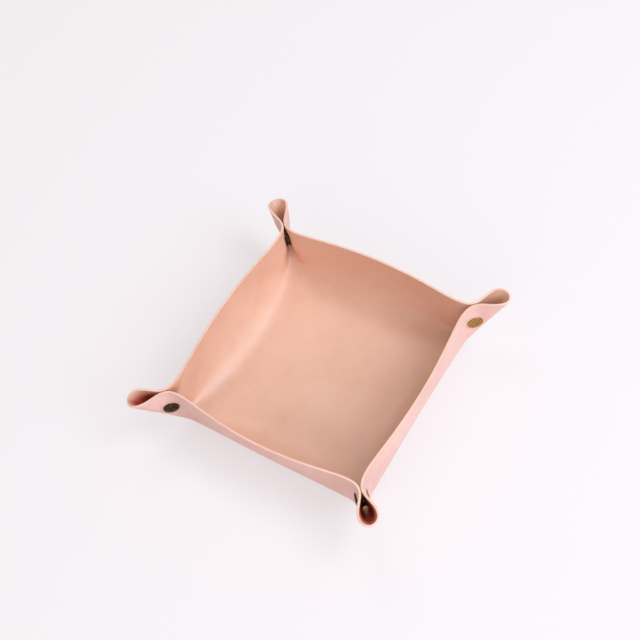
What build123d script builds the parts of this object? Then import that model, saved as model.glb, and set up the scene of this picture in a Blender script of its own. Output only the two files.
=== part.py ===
from build123d import *
from math import atan2, cos, hypot, sin, sqrt, tan, tau
import os

# A valet tray: one square sheet of soft leather whose four corners are pinched
# upright and held by snap fasteners. +Z is up, the origin is on the surface that
# the tray rests on, under the middle of the floor. The front wall is on -Y.

# Leather sheet
leather_thickness = 1.5
floor_half_width = 44.0
wall_bend_reach = 26.5
wall_bend_height = 30.0
rim_height = 41.5

# Rims bow outwards between the corners, more at the top than at the floor
wall_bow = 4.6
wall_bow_at_floor = 0.8
wall_bow_half_length = 58.0
wall_bow_height = 24.0

# Pinched corner, measured along the tray's diagonal and across it
snap_gap = 3.4
snap_distance = 97.6
snap_height = 25.6
seat_length = 10.4
neck_fillet_least = 3.0
neck_length_least = 1.0
fold_spread_at_floor = 1.6
fold_spread_height = 15.0
ear_foot_distance = 84.8
ear_rise_per_distance_share = 1.0
ear_root_height = 10.0
ear_root_overhang = 3.0
loop_growth_height = 20.0
loop_growth_share = 0.16
loop_least_growth = 0.25
loop_turn_least = 3.0

# Lip of an ear, which falls towards its tip
lip_start_distance = 104.0
lip_end_distance = 126.0
lip_drop = 3.2
lip_crown = 0.7
lip_cutter_height = 8.0
lip_cutter_overhang = 6.0
lip_cutter_half_width = 12.0

# Heights of the sections that the sheet passes through, as shares of the rim height
section_shares = (0.035, 0.09, 0.17, 0.27, 0.38, 0.52, 0.68, 0.85, 1)
overrun = 2.0

# Snap fastener: the cap, whose tube is rolled over inside the socket
cap_radius = 5.0
cap_edge = 0.7
cap_crown = 0.8
disc_edge_fillet = 0.25
tube_radius = 1.6
tube_bore_radius = 1.25
tube_clearance = 0.05
cap_roll_radius = 2.2
cap_roll_thickness = 0.35

# Snap fastener: the socket and the split spring ring in its groove
socket_flange_radius = 4.8
socket_flange = 0.5
socket_radius = 3.9
socket_depth = 2.2
socket_chamber_radius = 2.75
socket_mouth_radius = 2.65
socket_lip = 0.3
socket_edge_fillet = 0.2
ring_wire_radius = 0.35
ring_radius = 2.55
ring_clearance = 0.1
ring_spread = 0.25
ring_arc = 320.0

# Snap fastener: the stud, and the post whose tube is rolled over inside it
stud_flange_radius = 4.4
stud_flange = 0.55
stud_neck_radius = 2.1
stud_head_radius = 2.35
stud_head_height = 0.7
stud_head_taper = 0.2
stud_head_fillet = 0.3
stud_height = 2.45
stud_top_thickness = 0.35
post_radius = 5.0
post_edge = 0.7
post_dimple_radius = 1.5
post_dimple_slope = 0.5
post_dimple_depth = 0.3
post_roll_radius = 1.9
post_roll_thickness = 0.2

# Sizes that follow
half_leather = leather_thickness / 2
rim_top = rim_height + half_leather
seat_inner = snap_gap / 2
seat_outer = seat_inner + leather_thickness
neck_half_width = seat_inner + half_leather
hole_radius = tube_radius + tube_clearance
cap_face = seat_outer + cap_edge
socket_back = seat_inner - socket_flange
socket_mouth = socket_back - socket_depth
ring_seat = socket_mouth + socket_lip
ring_place = ring_seat + ring_wire_radius
ring_groove_radius = ring_radius + ring_wire_radius + ring_spread
ring_groove_top = ring_place + ring_wire_radius + ring_clearance
stud_face = -seat_inner + stud_flange
stud_top = -seat_inner + stud_height
stud_head_foot = stud_top - stud_head_height
stud_cavity_radius = post_roll_radius + tube_clearance
post_roll_top = stud_head_foot + post_roll_thickness
post_face = -seat_outer - post_edge

CORNERS = ("back_right", "back_left", "front_left", "front_right")
# The cap sits on the side wall that comes after the corner, seen from above and
# going round to the left, at two corners, and on the wall before it at the others.
CAP_SIDE = {"back_right": -1, "back_left": 1, "front_left": -1, "front_right": 1}


def wall_half_width_at(height):
    """Half the tray's width at mid wall, on an elliptic bend that ends upright."""
    rise = min(height / wall_bend_height, 1)
    return floor_half_width + wall_bend_reach * sqrt(1 - (1 - rise) ** 2)


def wall_slope_at(height):
    """Cosine and sine of the wall's slope at mid wall, from the same bend."""
    rise = min(height / wall_bend_height, 1)
    run = wall_bend_reach * (1 - rise)
    climb = wall_bend_height * sqrt(1 - (1 - rise) ** 2)
    return run / hypot(run, climb), climb / hypot(run, climb)


def bow_radius_at(height):
    """Radius of the wall's outward bow at this height."""
    share = min(height / wall_bow_height, 1)
    bow = wall_bow_at_floor + (wall_bow - wall_bow_at_floor) * share
    return (wall_bow_half_length**2 + bow**2) / (2 * bow)


def ear_reach_at(height):
    """Distance of the ear's folded edge from the tray's middle, along the diagonal."""
    ear_line = ear_foot_distance + ear_rise_per_distance_share * height
    corner_line = wall_half_width_at(height) * sqrt(2) + ear_root_overhang
    share = min(height / ear_root_height, 1)
    ease = share * share * (3 - 2 * share)
    return corner_line + (ear_line - corner_line) * ease


def corner_outline(height, shift):
    """Half a pinched corner at one height, as arcs and a line from mid wall to the tip.

    Points are (distance along the diagonal, distance off it). The outline stands
    shift outside the middle of the leather's thickness."""
    spread = 1 - min(height / fold_spread_height, 1)
    neck = neck_half_width + fold_spread_at_floor * spread**2
    growth = max(height - loop_growth_height, 0) * loop_growth_share
    loop = neck + max(growth, loop_least_growth)
    reach = ear_reach_at(height)
    loop_centre = reach - loop
    seat_start = snap_distance - seat_length / 2
    seat_end = snap_distance + seat_length / 2

    bow_radius = bow_radius_at(height)
    bow_centre = (wall_half_width_at(height) - bow_radius) / sqrt(2)
    crossing = bow_centre + sqrt(bow_radius**2 - (neck - bow_centre) ** 2)
    shortest_turn = sqrt(2 * loop_turn_least * (loop - neck) + loop**2 - neck**2)
    neck_end = min(seat_end, loop_centre - shortest_turn)
    neck_start = min(seat_start, neck_end - neck_length_least)
    neck_start = max(neck_start, crossing + neck_fillet_least * tan(tau / 16))
    neck_end = max(neck_end, neck_start + neck_length_least)
    loop_centre = max(loop_centre, neck_end + shortest_turn)

    along = neck_start - bow_centre
    across = neck - bow_centre
    fillet = (along**2 + across**2 - bow_radius**2) / (2 * (bow_radius - across))
    turn = ((loop_centre - neck_end) ** 2 + neck**2 - loop**2) / (2 * (loop - neck))

    bow_middle = (bow_centre, bow_centre)
    fillet_middle = (neck_start, neck + fillet)
    turn_middle = (neck_end, neck + turn)
    loop_middle = (loop_centre, 0)
    return [
        arc_between(bow_middle, bow_radius + shift, (1, 1), toward(bow_middle, fillet_middle)),
        arc_between(fillet_middle, fillet - shift, toward(fillet_middle, bow_middle), (0, -1)),
        ((neck_start, neck + shift), (neck_end, neck + shift)),
        arc_between(turn_middle, turn - shift, (0, -1), toward(turn_middle, loop_middle)),
        arc_between(loop_middle, loop + shift, toward(loop_middle, turn_middle), (1, 0)),
    ]


def toward(start, end):
    """The direction from one point to another."""
    return (end[0] - start[0], end[1] - start[1])


def arc_between(centre, radius, first, last):
    """The start, middle and end of an arc, from its centre and its end directions."""
    start = atan2(first[1], first[0])
    sweep = (atan2(last[1], last[0]) - start + tau / 2) % tau - tau / 2
    turns = (start, start + sweep / 2, start + sweep)
    return tuple((centre[0] + radius * cos(a), centre[1] + radius * sin(a)) for a in turns)


def corner_point(point, corner):
    """A point of a corner's outline as x and y, for one of the four corners."""
    angle = (corner + 0.5) * tau / 4
    along, across = point
    return (
        along * cos(angle) + across * sin(angle),
        along * sin(angle) - across * cos(angle),
    )


def section(height, level, shift):
    """The sheet's whole outline for one height, with its four pinched corners."""
    half = corner_outline(height, shift)
    mirrored = [[(a, -b) for a, b in reversed(stretch)] for stretch in reversed(half)]
    with BuildSketch(Plane.XY.offset(level)) as outline:
        with BuildLine():
            for corner in range(len(CORNERS)):
                for stretch in [*half, *mirrored]:
                    points = [corner_point(p, corner) for p in stretch]
                    if len(points) == 2:
                        Line(*points)
                    else:
                        ThreePointArc(*points)
        make_face()
    return outline.sketch.face()


def side_levels(side):
    """Heights and outward shifts of one face of the leather, side 1 outside, -1 inside."""
    levels = []
    for share in section_shares:
        height = share * rim_height
        level, upright = wall_slope_at(height)
        lift = half_leather - side * half_leather * level
        levels.append((height, height + lift, side * half_leather * upright))
    return levels


def ear_plane(corner):
    """The upright plane through one ear: X runs out along the diagonal, Y is up."""
    angle = (corner + 0.5) * tau / 4
    return Plane(origin=(0, 0, 0), x_dir=(cos(angle), sin(angle), 0), z_dir=(sin(angle), -cos(angle), 0))


def snap_plane(corner):
    """The snap's sketch plane: X is the radius, Y runs from the stud to the cap."""
    ear = ear_plane(corner)
    middle = ear.x_dir * snap_distance + Vector(0, 0, snap_height)
    return Plane(origin=middle, x_dir=(0, 0, 1), z_dir=ear.x_dir * CAP_SIDE[CORNERS[corner]])


def snap_axis(corner):
    """The axis that the snap's pieces are turned about."""
    plane = snap_plane(corner)
    return Axis(plane.origin, plane.y_dir)


os.makedirs("parts", exist_ok=True)

# The sheet: the space under its outside, less the space over its inside
outside = [(0, 0, 0), *side_levels(1)]
inside = [(0, leather_thickness, 0), *side_levels(-1), (rim_height, rim_top + overrun, -half_leather)]

with BuildPart() as leather_sheet:
    loft(sections=[section(*values) for values in outside], ruled=True)
    loft(sections=[section(*values) for values in inside], ruled=True, mode=Mode.SUBTRACT)

    for corner in range(len(CORNERS)):
        # Each ear's lip is cut lower than the rims
        lip_middle = (lip_start_distance + lip_end_distance) / 2
        with BuildSketch(ear_plane(corner)):
            with BuildLine():
                ThreePointArc(
                    (lip_start_distance, rim_top),
                    (lip_middle, rim_top - lip_drop / 2 + lip_crown),
                    (lip_end_distance, rim_top - lip_drop),
                )
                Polyline(
                    (lip_end_distance, rim_top - lip_drop),
                    (lip_end_distance + lip_cutter_overhang, rim_top - lip_drop),
                    (lip_end_distance + lip_cutter_overhang, rim_top + lip_cutter_height),
                    (lip_start_distance, rim_top + lip_cutter_height),
                    (lip_start_distance, rim_top),
                )
            make_face()
        extrude(amount=lip_cutter_half_width, both=True, mode=Mode.SUBTRACT)

        # One punched hole runs through both walls of the pinch
        with BuildSketch(snap_plane(corner)):
            with BuildLine():
                Polyline(
                    (0, -seat_outer - overrun),
                    (hole_radius, -seat_outer - overrun),
                    (hole_radius, seat_outer + overrun),
                    (0, seat_outer + overrun),
                    close=True,
                )
            make_face()
        revolve(axis=snap_axis(corner), mode=Mode.SUBTRACT)

leather_sheet.part.label = "leather_sheet"
export_step(leather_sheet.part, "parts/leather_sheet.step")

for corner, corner_name in enumerate(CORNERS):
    # Domed cap outside the wall, its tube through the leather and the socket's flange
    with BuildPart() as cap:
        with BuildSketch(snap_plane(corner)) as cap_outline:
            with BuildLine():
                TangentArc((0, cap_face + cap_crown), (cap_radius, cap_face), tangent=(1, 0))
                Polyline(
                    (cap_radius, cap_face),
                    (cap_radius, seat_outer),
                    (tube_radius, seat_outer),
                    (tube_radius, socket_back),
                    (cap_roll_radius, socket_back),
                    (cap_roll_radius, socket_back - cap_roll_thickness),
                    (tube_bore_radius, socket_back - cap_roll_thickness),
                    (tube_bore_radius, seat_outer),
                    (0, seat_outer),
                    (0, cap_face + cap_crown),
                )
            make_face()
            fillet(cap_outline.vertices().group_by(Axis.X)[-1], disc_edge_fillet)
        revolve(axis=snap_axis(corner))

    cap.part.label = "cap_" + corner_name
    export_step(cap.part, "parts/cap_" + corner_name + ".step")

    # Socket on the wall's inner face, with a groove for the ring behind its mouth
    with BuildPart() as socket:
        with BuildSketch(snap_plane(corner)) as socket_outline:
            with BuildLine():
                Polyline(
                    (hole_radius, seat_inner),
                    (socket_flange_radius, seat_inner),
                    (socket_flange_radius, socket_back),
                    (socket_radius, socket_back),
                    (socket_radius, socket_mouth),
                    (socket_mouth_radius, socket_mouth),
                    (socket_mouth_radius, ring_seat),
                    (ring_groove_radius, ring_seat),
                    (ring_groove_radius, ring_groove_top),
                    (socket_chamber_radius, ring_groove_top),
                    (socket_chamber_radius, socket_back),
                    (hole_radius, socket_back),
                    close=True,
                )
            make_face()
            mouth_edge = socket_outline.vertices().group_by(Axis.Y)[0].sort_by(Axis.X)[-1]
            fillet(mouth_edge, socket_edge_fillet)
        revolve(axis=snap_axis(corner))

    socket.part.label = "socket_" + corner_name
    export_step(socket.part, "parts/socket_" + corner_name + ".step")

    # Split ring of round spring wire that closes behind the stud's head
    with BuildPart() as socket_spring:
        with BuildSketch(snap_plane(corner)):
            with Locations((ring_radius, ring_place)):
                Circle(ring_wire_radius)
        revolve(axis=snap_axis(corner), revolution_arc=ring_arc)

    socket_spring.part.label = "socket_spring_" + corner_name
    export_step(socket_spring.part, "parts/socket_spring_" + corner_name + ".step")

    # Stud on the facing wall's inner face, hollow for the post's tube and roll
    with BuildPart() as stud:
        with BuildSketch(snap_plane(corner)) as stud_outline:
            with BuildLine():
                Polyline(
                    (hole_radius, -seat_inner),
                    (stud_flange_radius, -seat_inner),
                    (stud_flange_radius, stud_face),
                    (stud_neck_radius, stud_face),
                    (stud_neck_radius, stud_head_foot - stud_head_taper),
                    (stud_head_radius, stud_head_foot),
                    (stud_head_radius, stud_top),
                    (0, stud_top),
                    (0, stud_top - stud_top_thickness),
                    (stud_cavity_radius, stud_top - stud_top_thickness),
                    (stud_cavity_radius, stud_head_foot),
                    (hole_radius, stud_head_foot),
                    close=True,
                )
            make_face()
            head_edge = stud_outline.vertices().group_by(Axis.Y)[-1].sort_by(Axis.X)[-1]
            fillet(head_edge, stud_head_fillet)
        revolve(axis=snap_axis(corner))

    stud.part.label = "stud_" + corner_name
    export_step(stud.part, "parts/stud_" + corner_name + ".step")

    # Flat post outside that wall, its tube through the leather and the stud
    with BuildPart() as post:
        with BuildSketch(snap_plane(corner)) as post_outline:
            with BuildLine():
                Polyline(
                    (0, post_face + post_dimple_depth),
                    (post_dimple_radius, post_face + post_dimple_depth),
                    (post_dimple_radius + post_dimple_slope, post_face),
                    (post_radius, post_face),
                    (post_radius, -seat_outer),
                    (tube_radius, -seat_outer),
                    (tube_radius, stud_head_foot),
                    (post_roll_radius, stud_head_foot),
                    (post_roll_radius, post_roll_top),
                    (tube_bore_radius, post_roll_top),
                    (tube_bore_radius, -seat_outer),
                    (0, -seat_outer),
                    close=True,
                )
            make_face()
            fillet(post_outline.vertices().group_by(Axis.X)[-1], disc_edge_fillet)
        revolve(axis=snap_axis(corner))

    post.part.label = "post_" + corner_name
    export_step(post.part, "parts/post_" + corner_name + ".step")
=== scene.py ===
import math

import bmesh
import bpy
import numpy as np
from mathutils import Matrix, Vector


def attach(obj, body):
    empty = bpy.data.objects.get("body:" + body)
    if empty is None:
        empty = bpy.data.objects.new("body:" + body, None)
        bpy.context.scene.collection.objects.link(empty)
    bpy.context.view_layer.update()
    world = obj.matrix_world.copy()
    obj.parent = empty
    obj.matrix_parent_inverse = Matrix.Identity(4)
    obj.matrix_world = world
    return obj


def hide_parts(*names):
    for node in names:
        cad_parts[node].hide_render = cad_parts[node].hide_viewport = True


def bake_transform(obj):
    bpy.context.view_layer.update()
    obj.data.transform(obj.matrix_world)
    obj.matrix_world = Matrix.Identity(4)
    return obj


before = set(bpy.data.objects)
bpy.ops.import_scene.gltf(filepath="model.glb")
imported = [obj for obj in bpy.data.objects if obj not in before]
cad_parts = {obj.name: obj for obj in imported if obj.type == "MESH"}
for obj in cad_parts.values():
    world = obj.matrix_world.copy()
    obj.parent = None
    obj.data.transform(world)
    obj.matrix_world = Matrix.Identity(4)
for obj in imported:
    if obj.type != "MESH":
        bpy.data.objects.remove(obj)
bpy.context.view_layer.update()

# Lengths are in mm until a mesh is written, and places are on the flat sheet or in the tray.
# The back right quarter is worked out, and the others are its mirror images.
MM = 0.001
OUT = np.array([1.0, 1.0, 0.0]) / math.sqrt(2)          # from the middle to that quarter's corner
ACROSS = np.array([1.0, -1.0, 0.0]) / math.sqrt(2)      # across its pinch
UP = np.array([0.0, 0.0, 1.0])
OVER_DIAGONAL = np.array([[0, 1.0, 0], [1.0, 0, 0], [0, 0, 1.0]])

# The cut sheet and its four snaps
SHEET_SIDE = 200.0          # the square that the leather is cut to
THICKNESS = 1.5
CORNER_ROUND = 15.0         # radius that its corners are trimmed to
EDGE_ROUND = 0.35           # softened arris of the cut edge
EDGE_ARCS = (0, 30, 60, 90)     # degrees round that arris
SNAP_ALONG = 31.0           # snap's place, from the corner along the edge
SNAP_INSET = 16.0           # and in from the edge
SNAP_GAP = 3.4              # between the two leather faces that a closed snap holds
SNAP_REACH = 97.6           # snap's place in the formed tray, along the diagonal
SNAP_RISE = 25.6            # and over the surface that the tray rests on
HELD_APART = SNAP_GAP + THICKNESS   # between the two mid surfaces there
SEAT_FLAT, SEAT_FADE = 6.5, 3.5     # the leather is flat this far round a snap, and a little beyond

# How the flat sheet is folded before it is let go
FIRST_FOLD = 62.0           # the walls' foot, from the middle
FIRST_LEAN = 60.0           # degrees that the walls are folded up
FIRST_PUFF = 1.5            # the corner's two halves start this far open
FIRST_NOISE = 0.02          # so that it doesn't balance on a crease

# How the sheet resists, in one common measure of force
STRETCH, BENDING, WEIGHT, FLOOR = 400.0, 8.0, 1.3e-5, 5.0
MIRROR_HOLD, DIAGONAL_HOLD = 100.0, 100.0       # keep the quarter's borders in their planes
CONTACT, SEAT_HOLD, SEAT_PLACE_HOLD = 10.0, 20.0, 40.0
RIM_HOLD = 14.0             # rims pressed together just above the snap
RIM_HELD_AT = 1.0           # the middle of that stretch, from the snap towards the corner
RIM_HELD_HALF = 3.1         # and half of its length
RIM_APART = 0.8             # half of the mid surfaces' distance there
SNAP_GRIP = 5.0             # radius that a snap's flanges hold

# How finely it is worked out
CONTROL_SPACING = 2.5
ROUNDS, QUICK_ROUNDS = 3600, 600
MESH_CELLS = 100            # along half a side

# How each pinched corner opens: a half follows its fastener over these lengths
PINCH_LINE = 92.4           # the pinch starts here, along the diagonal
WALL_REACH = 39.2           # from there back to mid wall
STILL_RISE = 6.35           # leather lower than this stays with the floor
BEND_RISE = 14.0            # height over which it comes to follow the fastener
TONGUE_WIDTH = 1.6          # the ear's halves reach this far into each other
TONGUE_LINE = 72.0          # only at the ear's outer fold, not where the rims meet
TONGUE_RECESS = 0.12        # and lie this far inside the leather's faces there

# By hand no tray is pinched quite evenly: degrees that each wall stands out of its relaxed place
WALL_LEANS = {"right": -1.0, "back": 1.5, "left": -0.5, "front": 3.0}
WALL_FOOT = 58.0            # a wall leans about this line, from the middle
LEAN_PIVOT = 3.0            # and at this height
LEAN_RISE = 20.0            # height over which the lean comes in
PINCH_ALONG = 66.0          # it fades out along the wall towards here

# The leather's slots, and its pattern on the outside and along the cut edge
INSIDE, OUTSIDE, CUT_EDGE = 0, 1, 2
OUTSIDE_SHIFT = 0.4         # metres from the inside's pattern, so that the two differ
EDGE_PATTERN_STEP = 0.0002  # metres of pattern from one ring of the edge to the next

# Painted shade in the corners, a deeper red inside the ears, placed on the flat sheet
EAR_START, EAR_FULL = 149.0, 162.0      # sum of the two distances from the middle lines
SHADE_START, SHADE_FULL = 100.0, 91.0     # the larger of the two: from the rim down
BACK_DELAY = 12.0           # in the back corners it starts this much lower
BACK_BLEND = 20.0           # and this far from the middle line that has taken full effect


# Colours and nodes
def linear(hex_colour):
    """An sRGB hex colour as linear red, green, blue and alpha."""
    parts = [int(hex_colour[i:i + 2], 16) / 255 for i in (1, 3, 5)]
    return [c / 12.92 if c <= 0.04045 else ((c + 0.055) / 1.055) ** 2.4 for c in parts] + [1.0]


def add_node(tree, kind, settings=None, **links):
    """Adds a node. settings: property, or input's name or number, to its value.
    links: input name to the socket that feeds it."""
    node = tree.nodes.new(kind)
    for name, value in (settings or {}).items():
        if isinstance(name, str) and hasattr(node, name):
            setattr(node, name, value)
        else:
            node.inputs[name].default_value = value
    for name, source in links.items():
        tree.links.new(source, node.inputs[name])
    return node


def new_material(name):
    material = bpy.data.materials.new(name)
    material.use_nodes = True
    tree = material.node_tree
    tree.nodes.clear()
    shader = tree.nodes.new("ShaderNodeBsdfPrincipled")
    output = tree.nodes.new("ShaderNodeOutputMaterial")
    tree.links.new(shader.outputs["BSDF"], output.inputs["Surface"])
    return material, tree, shader


def noise(tree, place, scale, detail, roughness=0.5):
    """A noise node whose features are about 1 / scale metres wide."""
    return add_node(tree, "ShaderNodeTexNoise",
                    {"Scale": scale, "Detail": detail, "Roughness": roughness}, Vector=place)


def math_value(tree, operation, *terms):
    node = add_node(tree, "ShaderNodeMath", {"operation": operation})
    for term, socket in zip(terms, node.inputs):
        tree.links.new(term, socket)
    return node.outputs["Value"]


def mixed_values(tree, first, second, share):
    """The first value, with a share of the second."""
    node = add_node(tree, "ShaderNodeMix", {"data_type": "FLOAT", "Factor": share},
                    A=first, B=second)
    return node.outputs["Result"]


def map_range(tree, value, start, end, low=0.0, high=1.0, kind="LINEAR"):
    """The value brought from start and end to low and high, and kept between them."""
    node = add_node(tree, "ShaderNodeMapRange",
                    {"interpolation_type": kind, "From Min": start, "From Max": end,
                     "To Min": low, "To Max": high}, Value=value)
    return node.outputs["Result"]


def ramp(tree, source, stops):
    """A colour ramp from a list of (position, hex colour)."""
    node = add_node(tree, "ShaderNodeValToRGB", Fac=source)
    elements = node.color_ramp.elements
    while len(elements) < len(stops):
        elements.new(0.5)
    for element, (position, colour) in zip(elements, stops):
        element.position = position
        element.color = linear(colour)
    return node.outputs["Color"]


def tinted(tree, colour, tint, share):
    """The colour with a share, by a socket, of one plain tint."""
    color_a, color_b, result = 6, 7, 2
    node = add_node(tree, "ShaderNodeMix", {"data_type": "RGBA", color_b: linear(tint)},
                    Factor=share)
    tree.links.new(colour, node.inputs[color_a])
    return node.outputs[result]


def set_bump(tree, shader, height, strength, distance):
    bump = add_node(tree, "ShaderNodeBump", {"Strength": strength, "Distance": distance},
                    Height=height)
    tree.links.new(bump.outputs["Normal"], shader.inputs["Normal"])


def fold_shade_share(tree, flat):
    """Share of painted shade at a place, by how far down in a pinched corner it is: 0 outside it
    and at its rim, 1 deep inside.
    """
    axes = add_node(tree, "ShaderNodeSeparateXYZ", Vector=flat)
    from_middle = [math_value(tree, "ABSOLUTE", axes.outputs[axis]) for axis in ("X", "Y")]
    total = math_value(tree, "ADD", *from_middle)
    largest = math_value(tree, "MAXIMUM", *from_middle)
    in_ear = map_range(tree, total, EAR_START * MM, EAR_FULL * MM, kind="SMOOTHSTEP")
    delay = map_range(tree, axes.outputs["Y"], -BACK_BLEND * MM, BACK_BLEND * MM,
                      0.0, BACK_DELAY * MM)
    down = map_range(tree, math_value(tree, "ADD", largest, delay),
                     SHADE_START * MM, SHADE_FULL * MM, kind="SMOOTHSTEP")
    return math_value(tree, "MULTIPLY", in_ear, down)


def leather(name, pale, main, deep, grain_size, grain_height, roughness, fold_shade=None):
    """Leather whose pattern follows the cut sheet: its UV map holds metres on the flat sheet.

    grain_size and grain_height are in mm. The last argument is a colour of painted shade, deep in a
    pinched corner."""
    material, tree, shader = new_material(name)
    flat = add_node(tree, "ShaderNodeUVMap", {"uv_map": "flat"}).outputs["UV"]

    # Slow drift of tone over the hide, a few centimetres across
    drift = noise(tree, flat, 28.0, 3.0, 0.55).outputs["Fac"]
    blush = noise(tree, flat, 160.0, 4.0, 0.6).outputs["Fac"]
    tone = mixed_values(tree, drift, blush, 0.35)
    colour = ramp(tree, tone, [(0.32, deep), (0.5, main), (0.68, pale)])

    # Pebbled grain: cells with soft valleys, and fibres and slow waves over them
    warp = noise(tree, flat, 420.0, 2.0)
    wander = add_node(tree, "ShaderNodeVectorMath", {"operation": "SCALE", "Scale": 0.0006},
                      Vector=warp.outputs["Color"])
    place = add_node(tree, "ShaderNodeVectorMath", {"operation": "ADD"}, Vector=flat)
    tree.links.new(wander.outputs["Vector"], place.inputs[1])
    cells = add_node(tree, "ShaderNodeTexVoronoi",
                     {"feature": "SMOOTH_F1", "Scale": 1 / (grain_size * MM), "Smoothness": 0.7},
                     Vector=place.outputs["Vector"]).outputs["Distance"]
    fibres = noise(tree, flat, 2.2 / (grain_size * MM), 3.0).outputs["Fac"]
    waves = noise(tree, flat, 90.0, 2.0).outputs["Fac"]
    relief = mixed_values(tree, mixed_values(tree, cells, fibres, 0.3), waves, 0.45)
    set_bump(tree, shader, relief, 0.55, grain_height * MM)

    # Valleys of the grain hold a little more colour
    face = tinted(tree, colour, deep, map_range(tree, cells, 0.15, 0.75, 0.0, 0.12))
    # Painted shade inside a pinched corner: a deeper red, more so further down from the rim, for
    # the shade and the light bounced between its walls
    if fold_shade:
        face = tinted(tree, face, fold_shade, fold_shade_share(tree, flat))
    tree.links.new(face, shader.inputs["Base Color"])

    # A soft, slightly uneven gloss
    gloss = map_range(tree, blush, 0.3, 0.7, roughness - 0.06, roughness + 0.06)
    tree.links.new(gloss, shader.inputs["Roughness"])
    shader.inputs["IOR"].default_value = 1.5
    shader.inputs["Specular IOR Level"].default_value = 0.75
    return material


def aged_metal(name, bright, main, dark, roughness, wear):
    """Stamped or drawn metal whose tone lies thicker in some places than in others.

    wear is how far apart the tones lie: the less, the harder their borders."""
    material, tree, shader = new_material(name)
    place = add_node(tree, "ShaderNodeTexCoord").outputs["Object"]
    blotch = noise(tree, place, 420.0, 5.0, 0.62).outputs["Fac"]
    speck = noise(tree, place, 2600.0, 2.0).outputs["Fac"]
    tone = mixed_values(tree, blotch, speck, 0.35)
    colour = ramp(tree, tone, [(0.5 - wear, dark), (0.5, main), (0.5 + wear, bright)])
    tree.links.new(colour, shader.inputs["Base Color"])
    gloss = map_range(tree, blotch, 0.35, 0.65, roughness + 0.1, roughness - 0.06)
    tree.links.new(gloss, shader.inputs["Roughness"])
    set_bump(tree, shader, speck, 0.25, 0.00005)
    shader.inputs["Metallic"].default_value = 1.0
    return material


# Inside: smooth pigmented cowhide, a soft satin pink, with painted shade deep in the pinched
# corners
inner_leather_and_fold_shade = leather("satin_pink_leather_and_fold_shade", "#e4b9a3", "#e0b49d", "#daab92",
                        grain_size=1.0, grain_height=0.10, roughness=0.44, fold_shade="#a83a24")
# Outside: the same hide, a little paler and cooler, with a drier surface
outer_leather = leather("outer_pink_leather", "#e6bfb6", "#e2b8ae", "#dbaea3",
                        grain_size=1.0, grain_height=0.12, roughness=0.50)
# Cut edge: raw hide, paler than its faces and matte
edge_leather = leather("cut_leather_edge", "#f6d3c4", "#f1c8b7", "#e8b9a6",
                       grain_size=0.7, grain_height=0.15, roughness=0.70)


# Relaxing the sheet
def control_grid():
    """Flat places of the quarter sheet's control points, and the distance between them."""
    half = SHEET_SIDE / 2
    line = np.linspace(0, half, int(round(half / CONTROL_SPACING)) + 1)
    flat_x, flat_y = np.meshgrid(line, line, indexing="ij")
    return flat_x, flat_y, line[1]


def folded_up(flat_x, flat_y):
    """The quarter before it relaxes: walls folded up, the corner folded out between them."""
    lean = math.radians(FIRST_LEAN)
    u = np.maximum(flat_x, flat_y) - FIRST_FOLD
    v = np.minimum(flat_x, flat_y) - FIRST_FOLD
    crease = math.atan(math.cos(lean))
    angle = np.arctan2(v, u)
    wall = np.stack([FIRST_FOLD + u * math.cos(lean), FIRST_FOLD + v, u * math.sin(lean)], -1)
    edge = np.array([math.cos(crease) * math.cos(lean), math.sin(crease),
                     math.cos(crease) * math.sin(lean)])
    turn = math.atan2(edge[2], edge @ OUT) - (angle - crease)
    radius = np.hypot(u, v)[..., None]
    ear = radius * (np.cos(turn)[..., None] * OUT + np.sin(turn)[..., None] * UP)
    puff = FIRST_PUFF * np.sin(math.pi * (angle - crease) / (2 * (math.pi / 4 - crease)))
    ear = ear + FIRST_FOLD * np.array([1.0, 1.0, 0]) + puff[..., None] * ACROSS
    floor = np.stack([FIRST_FOLD + u, FIRST_FOLD + v, 0 * u], -1)
    points = np.where((angle <= crease)[..., None], wall, ear)
    points = np.where((u <= 0)[..., None], floor, points)
    points = np.where((flat_y > flat_x)[..., None], points[..., [1, 0, 2]], points)
    return points + np.random.default_rng(0).normal(0, FIRST_NOISE, points.shape)


def stretched(p, force, h):
    """Energies of the springs between neighbours, along the sheet and diagonally. Adds forces."""
    ahead, behind, every = slice(1, None), slice(None, -1), slice(None)
    energies = []
    for first, second, length, share in (
        ((ahead, every), (behind, every), h, 0.75),
        ((every, ahead), (every, behind), h, 0.75),
        ((ahead, ahead), (behind, behind), h * math.sqrt(2), 0.375),
        ((ahead, behind), (behind, ahead), h * math.sqrt(2), 0.375),
    ):
        d = p[first] - p[second]
        strain = ((d * d).sum(-1) - length ** 2) / (2 * length ** 2)
        energies.append(0.5 * STRETCH * share * (strain ** 2).sum() * length ** 2)
        push = (STRETCH * share * strain)[..., None] * d
        force[first] += push
        force[second] -= push
    return energies


def bent(p, force, h):
    """Energies of the sheet's bending and twist, also over its mirror planes. Adds forces."""
    energies = []
    scale = BENDING / h ** 2
    for axis in (0, 1):
        q = np.moveaxis(p, axis, 0)
        f = np.moveaxis(force, axis, 0)
        curve = q[2:] - 2 * q[1:-1] + q[:-2]
        energies.append(0.5 * scale * (curve ** 2).sum())
        f[2:] += scale * curve
        f[1:-1] -= 2 * scale * curve
        f[:-2] += scale * curve
        mirrored_curve = 2 * (q[1] - q[0])
        mirrored_curve[:, axis] = 0
        energies.append(0.25 * scale * (mirrored_curve ** 2).sum())
        f[1] += scale * mirrored_curve
        f[0] -= scale * mirrored_curve
    twist = p[1:, 1:] - p[1:, :-1] - p[:-1, 1:] + p[:-1, :-1]
    energies.append(scale * (twist ** 2).sum())
    force[1:, 1:] += 2 * scale * twist
    force[1:, :-1] -= 2 * scale * twist
    force[:-1, 1:] -= 2 * scale * twist
    force[:-1, :-1] += 2 * scale * twist
    return energies


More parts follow.
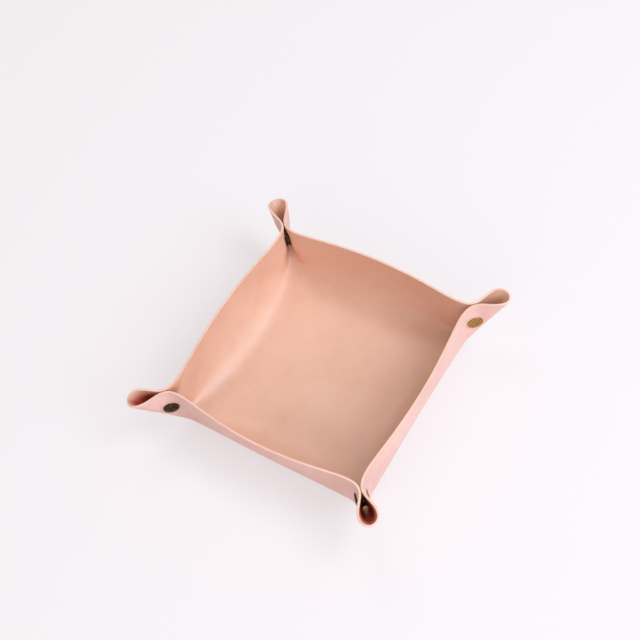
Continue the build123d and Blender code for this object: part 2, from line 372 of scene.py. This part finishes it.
def resting(p, force, h):
    """Energies of weight, of the floor's push and of the hold in the mirror planes. Adds forces."""
    weight = WEIGHT * h * h
    force[..., 2] += weight
    sunk = np.minimum(p[..., 2], 0)
    force[..., 2] += FLOOR * sunk
    force[0, :, 0] += MIRROR_HOLD * p[0, :, 0]
    force[:, 0, 1] += MIRROR_HOLD * p[:, 0, 1]
    return [weight * p[..., 2].sum(), 0.5 * FLOOR * (sunk ** 2).sum(),
            0.5 * MIRROR_HOLD * ((p[0, :, 0] ** 2).sum() + (p[:, 0, 1] ** 2).sum())]


def pulled(distance, mask, stiffness, force):
    """Energy of a spring on each masked point's distance across the pinch. Adds its forces."""
    held = np.where(mask, distance, 0)
    force += (stiffness * held)[..., None] * ACROSS
    return 0.5 * stiffness * (held ** 2).sum()


def descend(energy, state, rounds):
    """Limited-memory quasi-Newton descent. energy gives a state's value and slope."""
    memory, tries, least_fall, least_change = 24, 20, 1e-4, 1e-12
    value, slope = energy(state)
    steps, changes = [], []
    for _ in range(rounds):
        direction = -slope
        weights = []
        for s, y in zip(reversed(steps), reversed(changes)):
            a = (s @ direction) / (s @ y)
            direction = direction - a * y
            weights.append(a)
        if steps:
            direction = direction * (steps[-1] @ changes[-1]) / (changes[-1] @ changes[-1])
        else:
            direction = direction * 0.01
        for s, y, a in zip(steps, changes, reversed(weights)):
            direction = direction + (a - (y @ direction) / (s @ y)) * s
        fall = slope @ direction
        if fall >= 0:
            steps, changes = [], []
            continue
        length = 1.0
        for _ in range(tries):
            trial = state + length * direction
            trial_value, trial_slope = energy(trial)
            if trial_value <= value + least_fall * length * fall:
                break
            length *= 0.5
        s, y = trial - state, trial_slope - slope
        if s @ y > least_change:
            steps.append(s)
            changes.append(y)
            steps, changes = steps[-memory:], changes[-memory:]
        state, value, slope = trial, trial_value, trial_slope
    print("sheet relaxed, energy", round(value, 2), "slope", round(float(np.abs(slope).max()), 4))
    return state


def relax_quarter(flat_x, flat_y, h, rounds):
    """A quarter of the sheet, pinched at its corner and left to find its own shape.

    The leather resists stretch and bending and has weight. It lies on the floor, its two
    halves may not pass through each other, and the snap holds them SNAP_GAP apart."""
    points = folded_up(flat_x, flat_y)
    half = SHEET_SIDE / 2
    snap_x, snap_y = half - SNAP_INSET, half - SNAP_ALONG
    seat = np.hypot(flat_x - snap_x, flat_y - snap_y) <= SNAP_GRIP
    seats = (seat, seat.T)
    held_apart = HELD_APART / 2
    seat_place = SNAP_REACH * OUT + UP * (SNAP_RISE - THICKNESS / 2)
    rim_near = np.zeros_like(seat)
    rim_near[-1] = np.abs(flat_y[-1] - (half - SNAP_ALONG + RIM_HELD_AT)) < RIM_HELD_HALF
    lower, upper = flat_x > flat_y + 1e-9, flat_x < flat_y - 1e-9
    on_diagonal = ~lower & ~upper
    clearance = np.minimum(THICKNESS / 2, np.abs(flat_x - flat_y) / math.sqrt(2) * 0.9)

    def energy(state):
        p = state.reshape(points.shape)
        force = np.zeros_like(p)
        energies = stretched(p, force, h) + bent(p, force, h) + resting(p, force, h)
        off = p @ ACROSS
        for distance, mask, stiffness in (
            (off, on_diagonal, DIAGONAL_HOLD),
            (np.minimum(off - clearance, 0), lower, CONTACT),
            (np.maximum(off + clearance, 0), upper, CONTACT),
            (off - held_apart, seats[0], SEAT_HOLD),
            (off + held_apart, seats[1], SEAT_HOLD),
            (np.maximum(off - RIM_APART, 0), rim_near, RIM_HOLD),
            (np.minimum(off + RIM_APART, 0), rim_near.T, RIM_HOLD),
        ):
            energies.append(pulled(distance, mask, stiffness, force))
        for mask in seats:
            share = mask / mask.sum()
            gap = np.tensordot(share, p, 2) - seat_place
            gap -= (gap @ ACROSS) * ACROSS
            energies.append(0.5 * SEAT_PLACE_HOLD * gap @ gap)
            force += SEAT_PLACE_HOLD * share[..., None] * gap
        return sum(energies), force.ravel()

    return descend(energy, points.ravel(), rounds).reshape(points.shape)


# The mesh
def smoothed(share):
    return share * share * (3 - 2 * share)


def relaxed_surface():
    """The quarter's control points, made even about the diagonal and flat under the fastener."""
    flat_x, flat_y, spacing = control_grid()
    points = relax_quarter(flat_x, flat_y, spacing, ROUNDS)
    points = (points + points.transpose(1, 0, 2)[..., [1, 0, 2]]) / 2
    points[0, :, 0] = points[:, 0, 1] = 0
    inset, along = SHEET_SIDE / 2 - SNAP_INSET, SHEET_SIDE / 2 - SNAP_ALONG
    for side, snap_x, snap_y in ((1, inset, along), (-1, along, inset)):
        reach = np.hypot(flat_x - snap_x, flat_y - snap_y)
        share = smoothed(np.clip((SEAT_FLAT + SEAT_FADE - reach) / SEAT_FADE, 0, 1))
        off = points @ ACROSS
        points = points + (share * (side * HELD_APART / 2 - off))[..., None] * ACROSS
    return points, spacing


def surface_at(points, spacing, flat):
    """Place and the two slopes of the smooth surface at points of the flat sheet."""
    ghost = np.pad(points, ((1, 1), (1, 1), (0, 0)), mode="edge")
    for axis in (0, 1):
        g = np.moveaxis(ghost, axis, 0)
        g[0] = g[2]
        g[0][..., axis] *= -1
        g[-1] = 2 * g[-2] - g[-3]
    cell = np.clip((flat / spacing).astype(int), 0, points.shape[0] - 2)
    t = flat / spacing - cell
    # Cubic B-spline
    basis = np.stack([(1 - t) ** 3, 3 * t ** 3 - 6 * t ** 2 + 4,
                      -3 * t ** 3 + 3 * t ** 2 + 3 * t + 1, t ** 3]) / 6
    slope = np.stack([-(1 - t) ** 2, 3 * t ** 2 - 4 * t,
                      -3 * t ** 2 + 2 * t + 1, t ** 2]) / 2 / spacing
    place, along_x, along_y = (np.zeros((len(flat), 3)) for _ in range(3))
    for a in range(4):
        for b in range(4):
            control = ghost[cell[:, 0] + a, cell[:, 1] + b]
            place += (basis[a, :, 0] * basis[b, :, 1])[:, None] * control
            along_x += (slope[a, :, 0] * basis[b, :, 1])[:, None] * control
            along_y += (basis[a, :, 0] * slope[b, :, 1])[:, None] * control
    return place, along_x, along_y


def unit(vectors):
    return vectors / np.maximum(np.linalg.norm(vectors, axis=-1, keepdims=True), 1e-12)


def leaned(place, lean):
    """The wall swung out by lean degrees at its middle, and less towards the pinched corners."""
    swing = math.radians(lean) * np.clip(1 - (place[:, 1] / PINCH_ALONG) ** 2, 0, None)
    swing = swing * np.clip(place[:, 2] / LEAN_RISE, 0, 1)
    run, rise = place[:, 0] - WALL_FOOT, place[:, 2] - LEAN_PIVOT
    swung = place.copy()
    swung[:, 0] = WALL_FOOT + run * np.cos(swing) + rise * np.sin(swing)
    swung[:, 2] = LEAN_PIVOT + rise * np.cos(swing) - run * np.sin(swing)
    return swung


def leaned_slope(place, along, lean):
    step = 0.01
    ahead, behind = leaned(place + step * along, lean), leaned(place - step * along, lean)
    return (ahead - behind) / (2 * step)


VERTEX_VECTORS = ("normal", "flat", "rim")


def eighth_of_sheet(control, spacing, lean):
    """The eighth of the sheet between mid wall and the corner's diagonal, as a bmesh.

    Each vertex carries its normal, its flat place and, at the rim, the way out."""
    half = SHEET_SIDE / 2 - EDGE_ROUND
    rounding = CORNER_ROUND - EDGE_ROUND
    start = half - rounding
    index = [(i, j) for i in range(MESH_CELLS + 1) for j in range(i + 1)]
    flat = np.array(index, float) * half / MESH_CELLS
    a, b = (np.maximum(flat - start, 0) / rounding).T
    in_corner = (a > 0) & (b > 0)
    flat[in_corner, 0] = start + rounding * (a * np.sqrt(1 - b * b / 2))[in_corner]
    flat[in_corner, 1] = start + rounding * (b * np.sqrt(1 - a * a / 2))[in_corner]

    place, along_x, along_y = surface_at(control, spacing, flat)
    along_x, along_y = leaned_slope(place, along_x, lean), leaned_slope(place, along_y, lean)
    place = leaned(place, lean)
    normal = unit(np.cross(along_x, along_y))
    place[:, 2] += THICKNESS / 2
    outward = np.where(in_corner[:, None], unit(flat - start), np.array([1.0, 0.0]))
    rim = outward[:, :1] * along_x + outward[:, 1:] * along_y
    rim = unit(rim - (rim * normal).sum(-1, keepdims=True) * normal)
    on_rim = np.array([i == MESH_CELLS for i, j in index])
    rim[~on_rim] = 0

    bm = bmesh.new()
    layers = [bm.verts.layers.float_vector.new(name) for name in VERTEX_VECTORS]
    verts = {}
    for key, p, n, f, r in zip(index, place, normal, flat, rim):
        vert = bm.verts.new(p)
        vert[layers[0]], vert[layers[1]], vert[layers[2]] = n, (*f, 0), r
        verts[key] = vert
    for i in range(MESH_CELLS):
        for j in range(i + 1):
            corners = [(i, j), (i + 1, j), (i + 1, j + 1)] + ([(i, j + 1)] if j < i else [])
            bm.faces.new([verts[c] for c in corners])
    return bm


def cut_to(source, *planes):
    """A copy of the sheet, kept on the far side of each plane (normal, distance along it)."""
    bm = source.copy()
    for normal, distance in planes:
        normal = Vector(normal)
        bmesh.ops.bisect_plane(
            bm, geom=bm.verts[:] + bm.edges[:] + bm.faces[:], dist=1e-5,
            plane_co=normal * (distance / normal.length_squared), plane_no=normal,
            clear_inner=True)
    bm.verts.index_update()
    layers = [bm.verts.layers.float_vector[name] for name in VERTEX_VECTORS]
    part = {
        "place": np.array([v.co[:] for v in bm.verts]),
        "normal": unit(np.array([v[layers[0]][:] for v in bm.verts])),
        "flat": np.array([v[layers[1]][:2] for v in bm.verts]),
        "rim": np.array([v[layers[2]][:] for v in bm.verts]),
        "faces": [[v.index for v in f.verts] for f in bm.faces],
    }
    bm.free()
    return part


def mirrored(part, matrix):
    """The part in one of the tray's eight like places."""
    moved = {name: part[name] @ matrix.T for name in ("place", "normal", "rim")}
    moved["flat"] = part["flat"] @ matrix[:2, :2].T
    flip = np.linalg.det(matrix) < 0
    moved["faces"] = [f[::-1] for f in part["faces"]] if flip else part["faces"]
    return moved


def welded(parts):
    """Several parts as one, with their shared borders merged."""
    faces, first = [], 0
    for part in parts:
        faces += [[first + v for v in f] for f in part["faces"]]
        first += len(part["place"])
    whole = {k: np.concatenate([p[k] for p in parts]) for k in ("place", "normal", "flat", "rim")}
    key = np.round(whole["place"] / 1e-3).astype(np.int64)
    found, chosen, back = np.unique(key, axis=0, return_index=True, return_inverse=True)
    back = back.ravel()
    merged = {k: whole[k][chosen] for k in ("place", "flat", "rim")}
    summed = np.zeros((len(found), 3))
    np.add.at(summed, back, whole["normal"])
    merged["normal"] = unit(summed)
    merged["faces"] = [[int(back[v]) for v in f] for f in faces]
    return merged


class Shell:
    """The faces of a piece of leather while they are gathered, with a normal and a pattern
    place for each of their corners."""

    def __init__(self):
        self.coords, self.faces, self.normals, self.uv, self.slots = [], [], [], [], []

    def add(self, part, recess=0.0):
        """Adds the closed shell round a part's mid surface, recess inside the leather's faces."""
        half = THICKNESS / 2 - recess
        place, normal, rim, flat = part["place"], part["normal"], part["rim"], part["flat"]
        on_rim = np.linalg.norm(rim, axis=1) > 0.5
        arcs = [math.radians(a) for a in EDGE_ARCS]
        profile = [(EDGE_ROUND * math.sin(a) - recess,
                    half - EDGE_ROUND + EDGE_ROUND * math.cos(a), a) for a in arcs]
        profile += [(out, -up, math.pi - a) for out, up, a in reversed(profile)]
        rings = [place + up * normal + out * rim for out, up, a in profile]
        leans = [unit(math.cos(a) * normal + math.sin(a) * rim) for out, up, a in profile]
        last = len(rings) - 1
        used = {}

        def vert(ring, v):
            key = (ring, v)
            if key not in used:
                used[key] = len(self.coords)
                self.coords.append(rings[ring][v])
            return used[key]

        def add_face(corners, slot, normals=None):
            """Corners are (ring, vertex). With no normals given, the face is flat."""
            self.faces.append([vert(*c) for c in corners])
            if normals is None:
                p = [rings[r][v] for r, v in corners]
                normals = [unit(np.cross(p[1] - p[0], p[2] - p[0]))] * len(corners)
            self.normals.extend(normals)
            shift = OUTSIDE_SHIFT if slot == OUTSIDE else 0.0
            self.uv.extend([flat[v] * MM + shift + (0, EDGE_PATTERN_STEP * r) for r, v in corners])
            self.slots.append(slot)

        sides = set()
        for f in part["faces"]:
            add_face([(0, v) for v in f], INSIDE, [normal[v] for v in f])
            add_face([(last, v) for v in reversed(f)], OUTSIDE, [-normal[v] for v in reversed(f)])
            sides.update(zip(f, f[1:] + f[:1]))
        borders = [(a, b) for f in part["faces"] for a, b in zip(f, f[1:] + f[:1])
                   if (b, a) not in sides]
        for a, b in borders:
            if on_rim[a] and on_rim[b]:
                # Both faces' finish goes part of the way round the arris
                for r in range(last):
                    slot = INSIDE if r < 2 else OUTSIDE if r > last - 3 else CUT_EDGE
                    corners = [(r, b), (r, a), (r + 1, a), (r + 1, b)]
                    add_face(corners, slot, [leans[q][v] for q, v in corners])
            else:
                loop = [(0, b), (0, a)]
                loop += [(r, a) for r in range(1, last)] if on_rim[a] else []
                loop += [(last, a), (last, b)]
                loop += [(r, b) for r in range(last - 1, 0, -1)] if on_rim[b] else []
                add_face(loop, CUT_EDGE)

    def as_object(self, name):
        mesh = bpy.data.meshes.new(name)
        mesh.from_pydata(np.array(self.coords) * MM, [], self.faces)
        mesh.polygons.foreach_set("material_index", self.slots)
        pattern = mesh.uv_layers.new(name="flat")
        pattern.data.foreach_set("uv", np.array(self.uv, np.float32).ravel())
        for material in (inner_leather_and_fold_shade, outer_leather, edge_leather):
            mesh.materials.append(material)
        mesh.shade_smooth()
        mesh.normals_split_custom_set(np.array(self.normals))
        mesh.update()
        piece = bpy.data.objects.new(name, mesh)
        bpy.context.scene.collection.objects.link(piece)
        return piece


def leather_piece(name, part, tongue=None):
    """Gives a part of the sheet its thickness, its rounded cut edge and closed borders.

    A tongue is a strip of the leather's core that reaches on inside the facing half of an
    ear, so that no slit is seen between the two when they swing apart."""
    shell = Shell()
    shell.add(part)
    if tongue:
        shell.add(tongue, TONGUE_RECESS)
    piece = shell.as_object(name)

    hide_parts("leather_sheet")
    return piece


# A foot follows its fastener along a slanted line, by height and by distance from the pinch
follow_top = STILL_RISE + BEND_RISE
foot_slope = UP / BEND_RISE + OUT / WALL_REACH
foot_offset = STILL_RISE / BEND_RISE + PINCH_LINE / WALL_REACH
foot_start = foot_slope * foot_offset / (foot_slope @ foot_slope)
foot_end = foot_start + foot_slope / (foot_slope @ foot_slope)


def wall_eighth(control, spacing, lean):
    """One half of a wall with its share of floor and ear, cut where its way of following changes.

    Gives the floor, the tongue, and each other part with its blend's start and end."""
    sheet = eighth_of_sheet(control, spacing, lean)
    short_of_pinch = (-OUT, -PINCH_LINE)
    low = (-UP, -follow_top)
    floor = cut_to(sheet, short_of_pinch, (-foot_slope, -foot_offset), low)
    tongue = cut_to(sheet, (OUT - UP, TONGUE_LINE), (UP, STILL_RISE), (-ACROSS, -TONGUE_WIDTH))
    following = {
        "ear": (cut_to(sheet, (OUT, PINCH_LINE)), UP * STILL_RISE, UP * follow_top),
        "wall": (cut_to(sheet, short_of_pinch, (UP, follow_top)),
                 OUT * (PINCH_LINE - WALL_REACH), OUT * PINCH_LINE),
        "foot": (cut_to(sheet, short_of_pinch, low, (foot_slope, foot_offset)),
                 foot_start, foot_end),
    }
    sheet.free()
    return floor, tongue, following


CORNERS = {"back_right": (1, 1), "back_left": (-1, 1),
           "front_left": (-1, -1), "front_right": (1, -1)}
control, spacing = relaxed_surface()
eighths = {lean: wall_eighth(control, spacing, lean) for lean in sorted(set(WALL_LEANS.values()))}
floor_parts = []
for corner, (sign_x, sign_y) in CORNERS.items():
    back_or_front, left_or_right = corner.split("_")
    for half_name, wall_name in (("stud_half", left_or_right), ("socket_half", back_or_front)):
        place = np.diag([sign_x, sign_y, 1.0])
        if half_name == "socket_half":
            place = place @ OVER_DIAGONAL
        floor, tongue, following = eighths[WALL_LEANS[wall_name]]
        floor_parts.append(mirrored(floor, place))
        for part_name, (part, start, end) in following.items():
            with_tongue = part_name == "ear" and half_name == "stud_half"
            piece = leather_piece(f"leather_{part_name}_{half_name}_{corner}",
                                  mirrored(part, place),
                                  mirrored(tongue, place @ OVER_DIAGONAL) if with_tongue else None)
            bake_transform(piece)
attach(leather_piece("leather_floor", welded(floor_parts)), "tray")


# Fasteners
# Cap: brass darkened nearly to brown, worn through to brighter metal in patches
cap_brass = aged_metal("antique_brass_cap", "#6e5029", "#43301c", "#2a1e13", 0.42, 0.16)
# Post: the same plating, painted brighter than the cap, as light falls on the bright right-hand
# wall that carries posts
lit_post_brass = aged_metal("antique_brass_post_painted_light", "#c79c58", "#a57f42", "#74562a", 0.33, 0.2)
# Socket and stud: stamped brass with a light toning, painted dark brown for the shade deep between
# the pinched halves where they sit
shaded_inner_brass = aged_metal("stamped_brass_painted_shade", "#6b5a42", "#453828", "#2a2119", 0.45, 0.2)
# Ring: hard-drawn steel wire, bright and fairly smooth
ring_steel = aged_metal("drawn_steel_wire", "#d9dadb", "#bfc1c3", "#9a9c9e", 0.27, 0.2)

# The first that fits a name counts
METALS = (("cap_", cap_brass), ("post_", lit_post_brass), ("socket_spring_", ring_steel),
          ("socket_", shaded_inner_brass), ("stud_", shaded_inner_brass))
for node_name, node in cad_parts.items():
    for start, metal in METALS:
        if node_name.startswith(start):
            node.data.materials.clear()
            node.data.materials.append(metal)
            break


# Studio
def white_surface(name, colour, seen_colour, lift):
    """Matte paper that the camera sees as near white, and that still takes the tray's shadow.

    For the camera alone, lift is the share of its brightness that no shadow takes away."""
    material, tree, shader = new_material(name)
    shader.inputs["Base Color"].default_value = linear(colour)
    shader.inputs["Roughness"].default_value = 0.9
    shader.inputs["IOR"].default_value = 1.2
    glow = add_node(tree, "ShaderNodeEmission", {"Color": linear(seen_colour), "Strength": 1.0})
    seen = add_node(tree, "ShaderNodeLightPath").outputs["Is Camera Ray"]
    share = add_node(tree, "ShaderNodeMath", {"operation": "MULTIPLY", 1: lift})
    tree.links.new(seen, share.inputs[0])
    paper = add_node(tree, "ShaderNodeMixShader", Fac=share.outputs["Value"])
    tree.links.new(shader.outputs["BSDF"], paper.inputs[1])
    tree.links.new(glow.outputs["Emission"], paper.inputs[2])
    output = next(node for node in tree.nodes if node.bl_idname == "ShaderNodeOutputMaterial")
    tree.links.new(paper.outputs["Shader"], output.inputs["Surface"])
    return material


bpy.ops.object.select_all(action="DESELECT")
bpy.ops.mesh.primitive_plane_add(size=6.0, location=(0, 0, -0.00005))
ground = bpy.context.object
ground.name = "ground"
ground.data.materials.append(white_surface("white_paper", "#efedee", "#f9f4f8", 0.6))

# A warm room round the tray, which fills the shadows
world = bpy.data.worlds.new("studio")
bpy.context.scene.world = world
world.use_nodes = True
background = world.node_tree.nodes["Background"]
background.inputs["Color"].default_value = (0.97, 0.93, 0.86, 1.0)
background.inputs["Strength"].default_value = 0.43


def softbox(name, place, side, power, colour):
    """A square area light, turned towards the tray."""
    light = bpy.data.lights.new(name, "AREA")
    light.shape = "RECTANGLE"
    light.size = light.size_y = side
    light.energy = power
    light.color = colour
    lamp = bpy.data.objects.new(name, light)
    bpy.context.scene.collection.objects.link(lamp)
    place = Vector(place)
    turn = (place - Vector((0, 0, 0.02))).to_track_quat("Z", "Y")
    lamp.matrix_world = Matrix.Translation(place) @ turn.to_matrix().to_4x4()


softbox("upper_right_softbox", (0.85, 0.50, 1.30), 0.6, 8.4, (0.87, 0.87, 1.0))
softbox("right_softbox", (1.28, 0.08, 0.88), 0.8, 11.8, (0.87, 0.94, 1.0))
softbox("back_left_softbox", (-0.65, 0.69, 1.30), 0.6, 3.7, (1.0, 0.93, 0.87))
softbox("front_softbox", (0.35, -1.35, 0.80), 1.0, 8.0, (1.0, 0.86, 0.88))

# Camera: the photograph's place, distance and tilt over the tray
AZIMUTH, ELEVATION, ROLL = math.radians(-43.1), math.radians(59.13), math.radians(-14.0)
DISTANCE, TARGET_RISE = 0.770, 0.01575
PICTURE_PX, FOCAL_PX = 640, 1228.0
AIM_RIGHT_PX, AIM_DOWN_PX = 4.5, 48.4       # the target's place from the picture's middle
forward = Vector((math.sin(AZIMUTH) * math.cos(ELEVATION),
                  math.cos(AZIMUTH) * math.cos(ELEVATION), -math.sin(ELEVATION)))
right = Vector((math.cos(AZIMUTH), -math.sin(AZIMUTH), 0))
up = right.cross(forward)
place = Vector((0, 0, TARGET_RISE)) - forward * DISTANCE
rolled_right = right * math.cos(ROLL) + up * math.sin(ROLL)
rolled_up = up * math.cos(ROLL) - right * math.sin(ROLL)
forward = forward * FOCAL_PX - rolled_right * AIM_RIGHT_PX + rolled_up * AIM_DOWN_PX
forward.normalize()
right = forward.cross(rolled_up).normalized()
up = right.cross(forward)
camera_data = bpy.data.cameras.new("camera")
camera_data.sensor_width = 36.0
camera_data.lens = FOCAL_PX / PICTURE_PX * camera_data.sensor_width
camera = bpy.data.objects.new("camera", camera_data)
bpy.context.scene.collection.objects.link(camera)
camera.matrix_world = Matrix((
    (right.x, up.x, -forward.x, place.x),
    (right.y, up.y, -forward.y, place.y),
    (right.z, up.z, -forward.z, place.z),
    (0, 0, 0, 1)))
bpy.context.scene.camera = camera
bpy.context.scene.view_settings.view_transform = "Standard"
